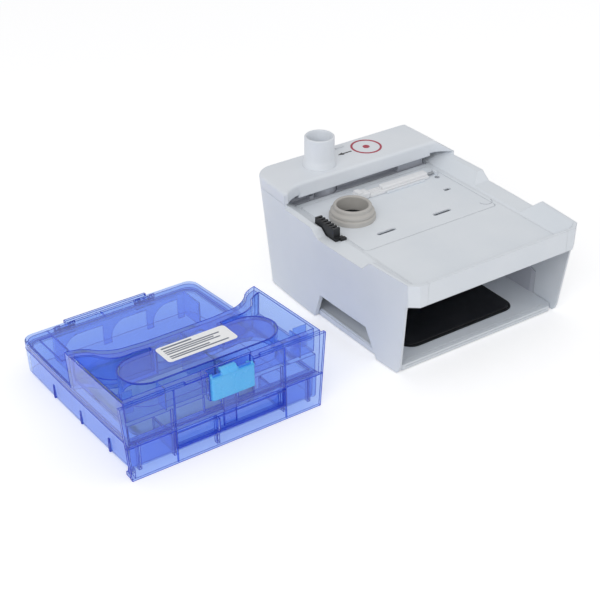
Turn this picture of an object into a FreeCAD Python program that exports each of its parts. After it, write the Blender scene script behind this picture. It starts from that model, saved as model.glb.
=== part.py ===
"""Heated humidifier for a compact breathing ventilator: docking base and removable water tank.

All sizes are in millimetres. Everything is first drawn in the docked frame: X to the right, Y to the
back, Z up, x = 0 on the base's middle line, y = 0 on the front fascia and z = 0 on the table. The tank
is then set down beside the base, and the whole set is moved so that the middle of its footprint is
the origin.
"""
import FreeCAD, Part
import math
import os
from FreeCAD import Placement, Rotation
from FreeCAD import Vector as V

# base: driving sizes
base_half_width = 78.2      # at the rim, at the widest place
base_widest_y = 95.0        # distance of the widest place from the fascia
base_bow = 4.2              # how much narrower the base is at the fascia
bay_half_width = 75.0       # inner face of the side walls, at rim height
bay_bow = 2.0
side_draft = 0.05           # side walls lean out by this much per mm of height
rear_draft = 0.13           # the back leans out more
base_depth = 185.4          # at the top of the bridge
foot_height = 0.8
bay_floor_z = 5.0           # top of the floor pan
fascia_bottom_z = 58.4
deck_z = 66.5               # the surface that the flow generator stands on
deck_thickness = 2.2
low_rim_z = 67.4
rear_rim_z = 73.0
front_rim_z = 75.0
seam_z = 76.0               # bridge cap on side walls
bridge_top_z = 85.0
cap_round = 2.2             # top edges of the bridge cap
bridge_front_y = 147.0
cap_slope_x, cap_slope_z = 64.0, 84.6   # the right end of the cap falls away from here
cap_slope_end_x = 77.2
split_x = 61.0              # the casing is written as side walls and a middle, cut at -x and +x
wall = 2.2
fit_gap = 0.3

# air way
outlet_radius = 11.0        # standard 22 mm breathing hose taper
outlet_bore = 9.4
outlet_x, outlet_y = -29.7, 164.8
outlet_top_z = 107.6
mark_x, mark_y = 15.8, 168.6   # printed ring beside the outlet
seal_x, seal_y = -38.0, 113.0
seal_bore = 11.3
port_radius = 7.0
port_x, port_z = 13.0, 44.5  # the two tank ports are at +x and -x

# heater
heater_x0, heater_x1 = -50.0, 44.5
heater_y0, heater_y1 = 31.0, 125.0
heater_corner = 8.0
heater_top_z = 5.9

# water tank, in the docked frame
tank_seam_z = 25.6
tank_low_z = 31.6           # top of the low back section
tank_top_z = 57.0
tank_panel_z = 55.4         # top of the front panel
tank_bottom_z = 5.6
tank_widest_y = 76.0
tank_rear_y = 149.0
tank_bottom_round = 3.0
panel_thickness = 2.2
tank_front_y = 1.0
tank_half_width = 70.2      # left side at the seam
tank_skin = 1.8
chamber_x0, chamber_x1 = -42.0, 37.5
chamber_y, chamber_radius = 29.5, 16.2
channel_floor_z = 41.0
latch_x0, latch_x1 = -12.0, 19.2
latch_z0, latch_z1 = 38.0, 53.6
latch_pivot_y, latch_pivot_z = 3.2, 51.6
latch_pin_radius = 0.8
hinge_y, hinge_z = 150.5, 25.5
hinge_pin_radius = 0.7
knuckle_radius = 1.5

# where the tank stands at rest
tank_rest_x, tank_rest_y = -204.4, 15.0
tank_skirt_z = 1.5          # lowest edge of the tank when docked
# the skirt's lower edge and the round back edge of the bottom both touch the table
back_y = tank_rear_y - tank_bottom_round - tank_front_y - panel_thickness
back_z = tank_bottom_z + tank_bottom_round - tank_skirt_z
tank_tilt = math.degrees(math.atan2(back_z, back_y)
                         - math.asin(tank_bottom_round / math.hypot(back_y, back_z)))

# the middle of the whole set's footprint
set_x0 = tank_rest_x - 74.6
set_x1 = 78.0
set_centre_x = (set_x0 + set_x1) / 2.0
set_centre_y = 92.7


# drawing helpers
def box(x0, y0, z0, x1, y1, z1):
    return Part.makeBox(x1 - x0, y1 - y0, z1 - z0, V(x0, y0, z0))


def cylinder(radius, start, axis, length):
    return Part.makeCylinder(radius, length, V(*start), V(*axis))


def prism(points, z0, z1):
    """Polygon of (x, y) points drawn up from z0 to z1."""
    wire = Part.makePolygon([V(x, y, z0) for x, y in points] + [V(points[0][0], points[0][1], z0)])
    return Part.Face(wire).extrude(V(0, 0, z1 - z0))


def side_prism(points, x0, x1):
    """Polygon of (y, z) points drawn from x0 to x1."""
    wire = Part.makePolygon([V(x0, y, z) for y, z in points] + [V(x0, points[0][0], points[0][1])])
    return Part.Face(wire).extrude(V(x1 - x0, 0, 0))


def front_prism(points, y0, y1):
    """Polygon of (x, z) points drawn from y0 to y1."""
    wire = Part.makePolygon([V(x, y0, z) for x, z in points] + [V(points[0][0], y0, points[0][1])])
    return Part.Face(wire).extrude(V(0, y1 - y0, 0))


def rounded_box(x0, y0, z0, x1, y1, z1, radius):
    """Box whose four upright edges are round."""
    solid = box(x0, y0, z0, x1, y1, z1)
    upright = [e for e in solid.Edges if abs(e.Vertexes[0].Z - e.Vertexes[1].Z) > 1e-6]
    return solid.makeFillet(radius, upright)


def slot_prism(x0, x1, y, radius, z0, z1):
    """Obround along X: two half-round ends about x0 and x1."""
    middle = box(x0, y - radius, z0, x1, y + radius, z1)
    ends = [cylinder(radius, (x, y, z0), (0, 0, 1), z1 - z0) for x in (x0, x1)]
    return middle.fuse(ends).removeSplitter()


def tube(outer, inner, start, axis, length):
    return cylinder(outer, start, axis, length).cut(cylinder(inner, start, axis, length))


def fuse_all(shapes):
    return shapes[0].fuse(shapes[1:]).removeSplitter()


def revolve(profile, x, y):
    """Closed (r, z) profile turned about the upright axis through x, y."""
    wire = Part.makePolygon([V(x + r, y, z) for r, z in profile] + [V(x + profile[0][0], y, profile[0][1])])
    return Part.Face(wire).revolve(V(x, y, 0), V(0, 0, 1), 360)


def round_edges(solid, radius, keep):
    """Fillet the edges that keep() picks; the solid stays as it is if the kernel can't."""
    edges = [e for e in solid.Edges if keep(e)]
    try:
        rounded = solid.makeFillet(radius, edges)
        return rounded if rounded.isValid() and rounded.Solids else solid
    except Exception:
        print("fillet left out:", radius, len(edges))
        return solid


def level_edge(edge, z):
    return all(abs(v.Z - z) < 1e-3 for v in edge.Vertexes) and abs(edge.CenterOfMass.z - z) < 0.05


# outlines of the base
def half_width(y, z, widest, bow):
    return widest - bow * ((y - base_widest_y) / base_widest_y) ** 2 - side_draft * (front_rim_z - z)


def rear_y(z):
    return base_depth - rear_draft * (bridge_top_z - z)


def base_outline(z, widest, bow, front, rear, chamfer_x, chamfer_y, rear_round):
    """Closed wire at height z: straight front with cut corners, bowed sides, round back corners."""
    def side(y, sign):
        return V(sign * half_width(y, z, widest, bow), y, z)

    corner = front + chamfer_y
    turn = rear - rear_round
    middle = (corner + turn) / 2.0
    rear_half = half_width(turn, z, widest, bow) - rear_round
    bend = rear_round * (1 - math.sqrt(0.5))
    points = []
    for sign in (-1, 1):
        at_front = V(sign * (half_width(corner, z, widest, bow) - chamfer_x), front, z)
        back_bend = V(sign * (rear_half + rear_round - bend), rear - bend, z)
        points.append((at_front, side(corner, sign), side(middle, sign), side(turn, sign), back_bend,
                       V(sign * rear_half, rear, z)))
    left, right = points
    edges = [
        Part.makeLine(left[0], left[1]),
        Part.Arc(left[1], left[2], left[3]).toShape(),
        Part.Arc(left[3], left[4], left[5]).toShape(),
        Part.makeLine(left[5], right[5]),
        Part.Arc(right[5], right[4], right[3]).toShape(),
        Part.Arc(right[3], right[2], right[1]).toShape(),
        Part.makeLine(right[1], right[0]),
        Part.makeLine(right[0], left[0]),
    ]
    return Part.Wire(edges)


def loft(wires):
    return Part.makeLoft(wires, True, True)


def outer_body(top):
    bottom = foot_height
    return loft([base_outline(z, base_half_width, base_bow, 0.0, rear_y(z), 6.4, 4.9, 16.0)
                 for z in (bottom, top)])


def bay_hollow(z0, z1):
    return loft([base_outline(z, bay_half_width, bay_bow, wall + 0.8, rear_y(z) - wall, 5.0, 4.0, 12.0)
                 for z in (z0, z1)])


# base: casing
def casing():
    """The whole casing; its side walls, its deck and its back wall are written as parts of their own."""
    body = outer_body(seam_z)
    body = body.cut(bay_hollow(-1.0, deck_z - deck_thickness))
    # the wall fronts lean back under the fascia
    body = body.cut(side_prism([(-5, fascia_bottom_z), (6.5, fascia_bottom_z), (12.8, 7.0), (14.2, 3.0),
                                (18.0, -1.0), (-5, -1.0)], -90, 90))
    # tray for the flow generator: sloping flanks down to the deck
    top = base_outline(front_rim_z, base_half_width - 2.0, base_bow, 2.2, 177.0, 6.0, 4.6, 6.0)
    flank = loft([base_outline(deck_z, 62.6, 1.2, 3.4, 176.0, 2.0, 2.0, 6.0), top])
    above = Part.Face(top).extrude(V(0, 0, 6))
    body = body.cut([flank, above])
    # rim profile along the sides
    body = body.cut(side_prism([(-5, 80), (-5, front_rim_z), (42.4, front_rim_z), (50.0, low_rim_z),
                                (100.1, low_rim_z), (107.8, rear_rim_z), (139.8, rear_rim_z), (139.8, 80)],
                               -90, 90))
    # pit under the bridge, opening for the deck plate and its rebate
    body = body.cut(box(-split_x, bridge_front_y + 3, deck_z - 3, split_x, 176.0, deck_z + 1))
    body = body.cut(box(-57.5, 70.5, deck_z - 3, 55.0, 143.5, deck_z + 1))
    body = body.cut(rounded_box(-60, 68.0, deck_z - 1.4, 57.5, 146.0, deck_z + 1, 3.0))
    # hand grips at the foot of both side walls
    for sign in (-1, 1):
        x0, x1 = sorted((sign * 60.0, sign * 90.0))
        body = body.cut(side_prism([(107.5, -1), (99.0, 22.0), (48.0, 22.0), (36.0, -1)], x0, x1))
    for x, y in cap_screw_places():
        body = body.cut(cylinder(1.3, (x, y, seam_z - 14), (0, 0, 1), 15))
    # seat of the connector
    body = body.cut(box(-70.2, 87.6, deck_z + 0.4, -59.0, 114.6, front_rim_z + 4))
    # window for the cooling grille in the back
    body = body.cut(box(20.0, 165.0, 12.0, 56.0, 190.0, 48.0))
    return body.removeSplitter()


def side_wall_left():
    return casing().common(box(-100, -5, -5, -split_x, 200, 100))


def side_wall_right():
    return casing().common(box(split_x, -5, -5, 100, 200, 100))


def back_room():
    """Space behind the bay, between the side walls."""
    return box(-split_x, 160, -5, split_x, 200, 100)


def rear_wall():
    return casing().common(back_room())


def deck_frame():
    return casing().common(box(-split_x, -5, -5, split_x, 200, 100)).cut(back_room())


def cap_screw_places():
    return [(-66.5, 165.0), (66.5, 165.0)]


def vent_grille():
    """Slotted plate that closes the window in the back wall."""
    def face_y(z):
        return rear_y(z) - 0.6
    plate = side_prism([(face_y(12.1) - 1.4, 12.1), (face_y(12.1), 12.1), (face_y(47.9), 47.9),
                        (face_y(47.9) - 1.4, 47.9)], 20.0, 56.0)
    slots = [box(23.0, 165.0, z, 53.0, 190.0, z + 2.4) for z in (15.0, 21.0, 27.0, 33.0, 39.0)]
    return plate.cut(slots)


def deck_plate():
    """Cover plate set flush in the deck, with the seal hole and two lock slots."""
    plate = rounded_box(-60 + fit_gap, 68.0 + fit_gap, deck_z - 1.4, 57.5 - fit_gap, 146.0 - fit_gap,
                        deck_z,
                        2.7)
    holes = [cylinder(13.2, (seal_x, seal_y, deck_z - 3), (0, 0, 1), 6),
             slot_prism(-37.4, -24.6, 82.6, 1.6, deck_z - 3, deck_z + 2),
             slot_prism(12.4, 25.0, 82.6, 1.6, deck_z - 3, deck_z + 2),
             slot_prism(43.0, 46.0, 108.0, 1.5, deck_z - 3, deck_z + 2),
             cylinder(1.7, (51.0, 127.4, deck_z - 3), (0, 0, 1), 6),
             slot_prism(-6.0, 2.0, 132.6, 1.2, deck_z - 3, deck_z + 2)]
    return plate.cut(holes)


def bridge_cap():
    """Cover over the back of the base, with the hose outlet standing on it."""
    def front_curve(inset):
        """Everything in front of the cap: a straight middle and ends that sweep forward."""
        y, x = bridge_front_y + inset, 90.0
        left, right = [[V(sign * x, 139.4 + inset, 60), V(sign * 74.0, 140.4 + inset, 60),
                        V(sign * 67.5, y - 2.2, 60), V(sign * 58.0, y, 60)] for sign in (-1, 1)]
        wire = Part.Wire([Part.makeLine(left[0], left[1]), Part.Arc(left[1], left[2], left[3]).toShape(),
                          Part.makeLine(left[3], right[3]), Part.Arc(right[3], right[2],
                                                                     right[1]).toShape(),
                          Part.makeLine(right[1], right[0]), Part.makeLine(right[0], V(x, -5, 60)),
                          Part.makeLine(V(x, -5, 60), V(-x, -5, 60)), Part.makeLine(V(-x, -5, 60),
                                                                                    left[0])])
        return Part.Face(wire).extrude(V(0, 0, 60))

    def above_slope(inset):
        """Everything above the right end, which falls away to the side."""
        x0, x1 = cap_slope_x - inset, cap_slope_end_x - inset
        fall = (cap_slope_z - seam_z) / (x1 - x0)
        low_end, high_end = (x1 + 6.0, seam_z - 6.0 * fall), (x0 - 6.0, cap_slope_z + 6.0 * fall)
        return front_prism([high_end, low_end, (x1 + 6.0, 100)], 100, 200)

    def body(inset, low, high):
        outlines = [base_outline(z, base_half_width - inset, base_bow, 0.0, rear_y(z) - inset, 6.4, 4.9,
                                 16.0 - inset) for z in (low, high)]
        return loft(outlines).cut(front_curve(inset))

    shell = round_edges(body(0.0, seam_z, bridge_top_z), cap_round, lambda e: level_edge(e, bridge_top_z))
    shell = shell.cut(body(wall, seam_z - 1, bridge_top_z - wall).cut(above_slope(1.6 * wall)))
    # lip that hangs below the seam between the side walls
    lip = box(-60, bridge_front_y, 73.7, 60, bridge_front_y + wall, seam_z + 2)
    pipe = revolve([(outlet_bore, 79.0), (outlet_radius + 1.2, 79.0),
                    (outlet_radius + 1.2, bridge_top_z + 1.5),
                    (outlet_radius, bridge_top_z + 6.0), (outlet_radius, outlet_top_z - 0.6),
                    (outlet_radius - 0.6, outlet_top_z), (outlet_bore + 0.4, outlet_top_z),
                    (outlet_bore, outlet_top_z - 0.6)], outlet_x, outlet_y)
    tab = box(outlet_x + 24.0, outlet_y + 12.6, bridge_top_z - 1, outlet_x + 31.0, outlet_y + 14.4,
              bridge_top_z + 0.8)
    bosses = [cylinder(3.0, (x, y, seam_z), (0, 0, 1), 7.4) for x, y in cap_screw_places()]
    cap = fuse_all([shell, lip, pipe, tab] + bosses)
    cap = cap.cut(cylinder(outlet_bore, (outlet_x, outlet_y, 70), (0, 0, 1), 30))
    for x, y in cap_screw_places():
        cap = cap.cut(cylinder(1.0, (x, y, seam_z - 1), (0, 0, 1), 5))
    return cap.cut(above_slope(0.0))


def bridge_marks():
    """Printed ring and dot, each one thin layer."""
    ring = tube(11.7, 10.2, (mark_x, mark_y, bridge_top_z), (0, 0, 1), 0.2)
    dot = cylinder(2.6, (mark_x, mark_y, bridge_top_z), (0, 0, 1), 0.2)
    return [ring, dot]


def flow_arrow():
    tip, neck, tail = -10.0, -5.5, 2.2
    outline = [(tip, mark_y), (neck, mark_y - 1.8), (neck, mark_y - 0.5), (tail, mark_y - 0.5),
               (tail, mark_y + 0.5), (neck, mark_y + 0.5), (neck, mark_y + 1.8)]
    return prism(outline, bridge_top_z, bridge_top_z + 0.2)


def bridge_bulkhead():
    """Upright panel in the pit under the bridge, with two openings for the lock hooks."""
    bottom = deck_z - deck_thickness
    panel = box(-60.6, 157.0, bottom, 60.6, 158.6, 73.4)
    openings = [box(5.0, 150, 68.0, 32.0, 160, 72.6), box(-58.0, 150, 68.6, -44.0, 160, 72.6),
                cylinder(outlet_radius + 1.3, (outlet_x, outlet_y - 1.0, bottom - 1), (0, 0, 1), 20.0),
                box(58.0, 150, 67.6, 62.0, 160, 72.6)]
    block = box(33.5, 152.4, bottom, 57.0, 157.0, 73.2)
    sill = box(-60.6, 152.4, bottom, 60.6, 157.0, bottom + 1.4)
    pin = box(-46.6, 152.4, bottom, -43.4, 158.0, 72.0)
    return fuse_all([panel, block, sill, pin]).cut(openings)


def floor_pan():
    """Bottom tray with the front lip, the heater well and the ledges seen in the hand grips."""
    z0, z1 = foot_height, bay_floor_z
    pan = loft([base_outline(z, bay_half_width - 0.6, bay_bow, 16.2, rear_y(z) - wall - fit_gap, 3.0, 3.0,
                             12.0)
                for z in (z0, z1)])
    pan = pan.cut(box(-58, 24, z0 + 1.4, 54, 132, z1 - 1.6))
    pan = pan.cut(rounded_box(heater_x0 - 2.4, heater_y0 - 2.4, z0 + 1.5, heater_x1 + 2.4, heater_y1 + 2.4,
                              z1 + 1,
                              heater_corner + 2.4))
    pan = pan.cut(box(-60, 152, z0 + 1.4, 60, 166, z1 + 1))
    rail = box(-69.8, 40.0, z1 - 1, -68.0, 106.0, z1 + 0.9)
    groove = box(-64, 14.0, 2.7, 64, 16.7, 3.3)
    return pan.fuse(rail).removeSplitter().cut(groove)


def foot_places():
    return [(-64.0, 30.0), (64.0, 30.0), (-60.0, 156.0), (60.0, 156.0)]


def rubber_feet():
    return [cylinder(5.0, (x, y, 0.0), (0, 0, 1), foot_height) for x, y in foot_places()]


def bay_guide():
    """Upright wall on the right of the bay that leads the tank's slanted side."""
    def section(z):
        lean = side_draft * (z - bay_floor_z)
        return Part.makePolygon([V(x + lean, y, z) for x, y in
                                 [(69.1, 40.0), (69.1, 56.0), (65.2, 149.0), (66.8, 149.0), (70.4, 58.0),
                                  (70.5, 37.0), (69.9, 36.4), (69.1, 40.0)]])
    guide = loft([section(bay_floor_z), section(deck_z - deck_thickness)])
    return guide.cut(side_prism([(30, 80), (30, 20), (43.0, 24.0), (52.0, 80)], 50, 80))


def bay_back_wall():
    """Upright wall between the bay and the parts room behind it."""
    panel = box(-68.0, 152.4, bay_floor_z, 68.0, 153.8, deck_z - deck_thickness)
    neck = cylinder(outlet_bore + 2.8, (outlet_x, outlet_y - 1.0, 55.0), (0, 0, 1), 12.0)
    return panel.cut([box(-8.0, 150, 37.0, 45.0, 155, 63.0), box(-64.8, 150, 29.0, -59.8, 155, 63.2), neck])


# base: air way
air_box_z0 = tank_low_z + 2.6
air_box_z1 = deck_z - deck_thickness - 0.6
air_wall = 1.6
room_x0, room_x1 = -58.0, 56.0
room_y0, room_y1 = 82.0, 149.6
nose_half, nose_y = 24.5, 60.2
air_hole_x0, air_hole_x1 = -4.0, 40.0
air_hole_z0, air_hole_z1 = 41.0, 59.0


def air_box():
    """Tray under the deck: air comes in at the seal on the left and goes out of the right half."""
    t, z0, z1 = air_wall, air_box_z0 + air_wall, air_box_z1 - air_wall
    inner_x0, inner_x1, back = room_x0 + t, room_x1 - t, room_y1 - t
    nose_front, nose_inner = nose_y + t, nose_half - t
    floors = [box(room_x0, room_y0, air_box_z0, room_x1, room_y1, z0),
              box(-nose_half, nose_front, air_box_z0, nose_half, room_y0, z0)]
    sides = [box(room_x0, room_y0, z0, inner_x0, room_y1, z1),
             box(inner_x1, room_y0, z0, room_x1, room_y1, z1),
             box(inner_x0, room_y0, z0, -nose_inner, room_y0 + t, z1),
             box(nose_inner, room_y0, z0, inner_x1, room_y0 + t, z1),
             box(-nose_half, nose_front, z0, -nose_inner, room_y0, z1),
             box(nose_inner, nose_front, z0, nose_half, room_y0, z1)]
    divider = [box(-t / 2, nose_front, z0, t / 2, 95.2, z1), box(-12.8, 95.2, z0, t / 2, 95.2 + t, z1),
               box(-12.8, 95.2 + t, z0, -12.8 + t, back, z1)]
    back_wall = [box(inner_x0, back, z0, air_hole_x0, room_y1, z1),
                 box(air_hole_x1, back, z0, inner_x1, room_y1, z1),
                 box(air_hole_x0, back, z0, air_hole_x1, room_y1, air_hole_z0),
                 box(air_hole_x0, back, air_hole_z1, air_hole_x1, room_y1, z1)]
    return floors + sides + divider + back_wall


def port_plate():
    """Front wall of the air box, with the two ports that meet the tank."""
    plate = box(-nose_half, nose_y, air_box_z0, nose_half, nose_y + air_wall, air_box_z1 - air_wall)
    return plate.cut([cylinder(port_radius, (sign * port_x, 58, port_z), (0, 1, 0), 5) for sign in (-1, 1)])


def air_box_cover():
    z0, z1 = air_box_z1 - air_wall, air_box_z1
    plate = fuse_all([box(room_x0, room_y0, z0, room_x1, room_y1, z1),
                      box(-nose_half, nose_y, z0, nose_half, room_y0 + 1, z1)])
    bosses = [cylinder(3.0, (x, y, z1 - 0.5), (0, 0, 1), deck_z - deck_thickness - z1 + 0.5)
              for x, y in [(-50.0, 146.4), (48.0, 146.4), (-19.0, 65.0), (19.0, 65.0)]]
    return fuse_all([plate.cut(cylinder(12.2, (seal_x, seal_y, z0 - 1), (0, 0, 1), 6))] + bosses)


def port_gaskets():
    return [tube(port_radius + 2.6, port_radius, (sign * port_x, 57.1, port_z), (0, 1, 0),
                 3.1) for sign in (-1, 1)]


def outlet_elbow():
    """Box duct behind the bay that turns the moist air up into the hose outlet."""
    low, high = 39.0, 61.0
    outside = fuse_all([box(-44, 154.4, low, 43.0, 174.0, high), box(-6.0, 149.6, low, 43.0, 155, high),
                        cylinder(outlet_bore + 2.4, (outlet_x, outlet_y - 1.0, high - 1), (0, 0, 1), 12.0)])
    inside = fuse_all([box(-42.4, 156.0, low + 1.6, 41.4, 172.4, high - 1.6),
                       box(-4.4, 149, low + 1.6, 41.4, 157, high - 1.6),
                       cylinder(outlet_bore, (outlet_x, outlet_y - 1.0, high - 3), (0, 0, 1), 18.0)])
    return outside.cut(inside)


def elbow_ring():
    """Rubber ring between the elbow and the hose outlet."""
    return tube(outlet_radius + 1.0, outlet_bore, (outlet_x, outlet_y - 0.5, 72.0), (0, 0, 1), 7.0)


def inlet_seal():
    """Stepped rubber bellows on the deck; the flow generator's outlet presses on it."""
    return revolve([(seal_bore, deck_z), (16.6, deck_z), (16.6, deck_z + 3.0), (16.1, deck_z + 3.7),
                    (15.3, deck_z + 4.1), (15.7, deck_z + 4.9), (15.6, deck_z + 6.2), (14.6, deck_z + 7.2),
                    (13.8, deck_z + 7.8), (13.7, deck_z + 9.8), (13.0, deck_z + 10.7), (12.0,
                                                                                        deck_z + 10.7),
                    (seal_bore, deck_z + 10.0)], seal_x, seal_y)


def seal_socket():
    """Ring below the deck plate that holds the seal over the air box."""
    collar = tube(13.2, 10.4, (seal_x, seal_y, deck_z - 1.4), (0, 0, 1), 1.4)
    return collar.fuse(tube(12.0, 10.4, (seal_x, seal_y, deck_z - 3.7), (0, 0, 1), 2.3)).removeSplitter()


# base: electrical connector
def comb_connector():
    """Upright comb housing whose blades plug into the flow generator."""
    z0 = deck_z + 0.4
    spine = box(-69.6, 92.0, z0, -68.0, 114.0, z0 + 8.4)
    blades = [box(-69.6, 92.0 + k * 3.4, z0, -64.2, 93.6 + k * 3.4, z0 + 8.8) for k in range(7)]
    foot = box(-69.6, 89.6, z0, -62.4, 92.2, z0 + 2.2)
    tab = box(-66.0, 88.2, z0, -61.2, 91.0, z0 + 1.8)
    return fuse_all([spine, foot, tab] + blades)


def comb_contacts():
    return [box(-68.0, 94.3 + k * 3.4, deck_z + 1.6, -65.4, 94.7 + k * 3.4, deck_z + 7.4) for k in range(6)]


def connector_board():
    """Small board under the deck, behind the connector."""
    return box(-64.6, 90.0, 60.2, -60.0, 112.0, 61.8)


# base: lock bar on the deck
def lock_bar():
    bar = box(-9.8, 128.6, deck_z + 0.15, 44.5, 136.8, deck_z + 2.6)
    ridges = [box(-9.4, y, deck_z + 2.5, 44.1, y + 0.9, deck_z + 3.2) for y in (129.6, 132.2, 134.8)]
    return fuse_all([bar] + ridges)


def lock_knob():
    return rounded_box(-21.0, 128.8, deck_z + 0.15, -9.8, 136.6, deck_z + 6.6, 1.6)


def bar_guides():
    """Two clips that hold the lock bar down on the deck."""
    clips = []
    for x in (4.0, 36.0):
        clip = box(x, 127.0, deck_z, x + 3.6, 138.4, deck_z + 4.6)
        clips.append(clip.cut(box(x - 1, 128.2, deck_z - 1, x + 5, 137.2, deck_z + 3.6)))
    return clips


def bar_spring():
    """Closed sleeve that stands for a fine coil spring."""
    return tube(1.2, 0.8, (44.9, 132.7, deck_z + 1.4), (1, 0, 0), 6.8)


def spring_stop():
    return box(52.0, 130.0, deck_z, 53.6, 135.4, deck_z + 3.0)


# base: heater
def heater_plate():
    plate = rounded_box(heater_x0, heater_y0, heater_top_z - 1.2, heater_x1, heater_y1, heater_top_z,
                        heater_corner)
    return round_edges(plate, 0.3, lambda e: level_edge(e, heater_top_z))


def heater_element():
    return rounded_box(heater_x0 + 6, heater_y0 + 6, heater_top_z - 1.6, heater_x1 - 6, heater_y1 - 6,
                       heater_top_z - 1.2, 4.0)


def heater_surround():
    outer = rounded_box(heater_x0 - 2.2, heater_y0 - 2.2, bay_floor_z - 0.9, heater_x1 + 2.2,
                        heater_y1 + 2.2,
                        bay_floor_z + 0.15, heater_corner + 2.2)
    inner = rounded_box(heater_x0 - 0.4, heater_y0 - 0.4, bay_floor_z - 2, heater_x1 + 0.4, heater_y1 + 0.4,
                        bay_floor_z + 1, heater_corner + 0.4)
    return outer.cut(inner)


def heater_insulation():
    return rounded_box(heater_x0 + 2, heater_y0 + 2, 2.3, heater_x1 - 2, heater_y1 - 2, 3.0, 6.0)


def heater_springs():
    places = [(heater_x0 + 14, heater_y0 + 14), (heater_x1 - 14, heater_y0 + 14),
              (heater_x0 + 14, heater_y1 - 14), (heater_x1 - 14, heater_y1 - 14)]
    return [tube(4.0, 3.2, (x, y, 3.0), (0, 0, 1), heater_top_z - 1.6 - 3.0) for x, y in places]


def heater_sensor():
    return cylinder(1.6, (-3.0, 78.0, heater_top_z - 2.1), (0, 0, 1), 0.5)


def thermal_fuse():
    return box(12.0, 74.0, heater_top_z - 2.1, 20.0, 77.0, heater_top_z - 1.6)


# base: parts room
def control_board():
    board = box(-62.0, 160.0, 8.0, 10.0, 161.6, 36.5)
    return board.cut([cylinder(1.6, (x, 159, z), (0, 1, 0), 4) for x in (-58.0, 6.0) for z in (12.0, 32.5)])


def board_parts():
    relay = box(-54.0, 161.6, 14.0, -38.0, 168.0, 26.0)
    chips = [box(-30.0, 161.6, 12.0, -20.0, 163.2, 22.0), box(-14.0, 161.6, 24.0, -6.0, 163.0, 32.0)]
    capacitors = [cylinder(3.4, (x, 161.6, 14.0), (0, 1, 0), 7.0) for x in (-12.0, -2.0)]
    return [relay] + chips + capacitors


def board_pillars():
    return [tube(3.0, 1.2, (x, 153.8, z), (0, 1, 0), 6.2) for x in (-58.0, 6.0) for z in (12.0, 32.5)]


def power_module():
    return rounded_box(18.0, 154.6, 2.2, 56.0, 165.6, 32.0, 2.0)


def harness():
    """Bunch of leads from the connector along the side of the air box and down to the board."""
    return fuse_all([box(-63.9, 112.0, 59.2, -61.3, 157.0, 61.8),
                     box(-63.9, 154.4, 30.0, -61.3, 157.0, 61.8)])


# fasteners
def pan_screws():
    solids = []
    for x, y in [(-64.0, 42.0), (64.0, 42.0), (-62.0, 138.0), (62.0, 138.0)]:
        solids.append(cylinder(2.4, (x, y, foot_height - 0.3), (0, 0, 1), 0.3))
    return solids


def cap_screws():
    """Screws from below; each head bears on the underside of the casing's corner."""
    under = deck_z - deck_thickness
    return [cylinder(2.4, (x, y, under - 1.4), (0, 0, 1), 1.4).fuse(cylinder(1.0, (x, y, under), (0, 0, 1),
                                                                             15.5))
            for x, y in cap_screw_places()]


# tank: outlines
def tank_left(y, z):
    bowed = tank_half_width - 0.9 * ((y - tank_widest_y) / tank_widest_y) ** 2
    return -bowed - side_draft * (z - tank_seam_z)


def tank_right(y, z):
    """The right side runs inwards towards the back."""
    slant = 69.9 - 0.026 * (y - 3.0) - 0.00012 * (y - 3.0) ** 2
    return slant + side_draft * (z - tank_seam_z)


def tank_outline(z, inset, rear):
    """Closed wire at height z, from the back of the front panel to the rear."""
    front, rear_round = tank_front_y, 8.0
    turn = rear - rear_round
    middle = (front + turn) / 2.0

    def left(y):
        return V(tank_left(y, z) + inset, y, z)

    def right(y):
        return V(tank_right(y, z) - inset, y, z)

    bend = rear_round * (1 - math.sqrt(0.5))
    left_turn, right_turn = left(turn), right(turn)
    return Part.Wire([
        Part.Arc(left(front), left(middle), left_turn).toShape(),
        Part.Arc(left_turn, V(left_turn.x + bend, rear - bend, z),
                 V(left_turn.x + rear_round, rear, z)).toShape(),
        Part.makeLine(V(left_turn.x + rear_round, rear, z), V(right_turn.x - rear_round, rear, z)),
        Part.Arc(V(right_turn.x - rear_round, rear, z), V(right_turn.x - bend, rear - bend, z),
                 right_turn).toShape(),
        Part.Arc(right_turn, right(middle), right(front)).toShape(),
        Part.makeLine(right(front), left(front))])


def tank_body(z0, z1, inset, front, rear):
    body = loft([tank_outline(z, inset, rear) for z in (z0, z1)])
    return body.cut(box(-90, -2, z0 - 1, 90, front, z1 + 1))


def shoulder_back(z, inset):
    """Edges of the raised part's back, which swings forward in the middle, and their two end points."""
    def half(sign):
        return [V(sign * 90.0, 75.6 - inset, z), V(sign * 76.0, 75.6 - inset, z),
                V(sign * 66.0, 74.2 - inset, z),
                V(sign * 58.0, 69.6 - inset * 1.1, z), V(sign * 50.0, 62.0 - inset * 1.3, z),
                V(sign * 38.0, 58.2 - inset, z), V(sign * 25.0, 57.0 - inset, z)]

    def half_edges(points):
        return [Part.makeLine(points[0], points[1]), Part.Arc(points[1], points[2], points[3]).toShape(),
                Part.Arc(points[3], points[4], points[5]).toShape(), Part.makeLine(points[5], points[6])]

    left, right = half(-1), half(1)
    return half_edges(left) + [Part.makeLine(left[6],
                                             right[6])] + half_edges(right)[::-1], left[0], right[0]


def shoulder_side(z0, z1, inset, far_y):
    """Everything between the raised part's back and the line y = far_y."""
    edges, left, right = shoulder_back(z0, inset)
    far_left, far_right = V(left.x, far_y, z0), V(right.x, far_y, z0)
    wire = Part.Wire(edges + [Part.makeLine(right, far_right), Part.makeLine(far_right, far_left),
                              Part.makeLine(far_left, left)])
    return Part.Face(wire).extrude(V(0, 0, z1 - z0))


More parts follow.
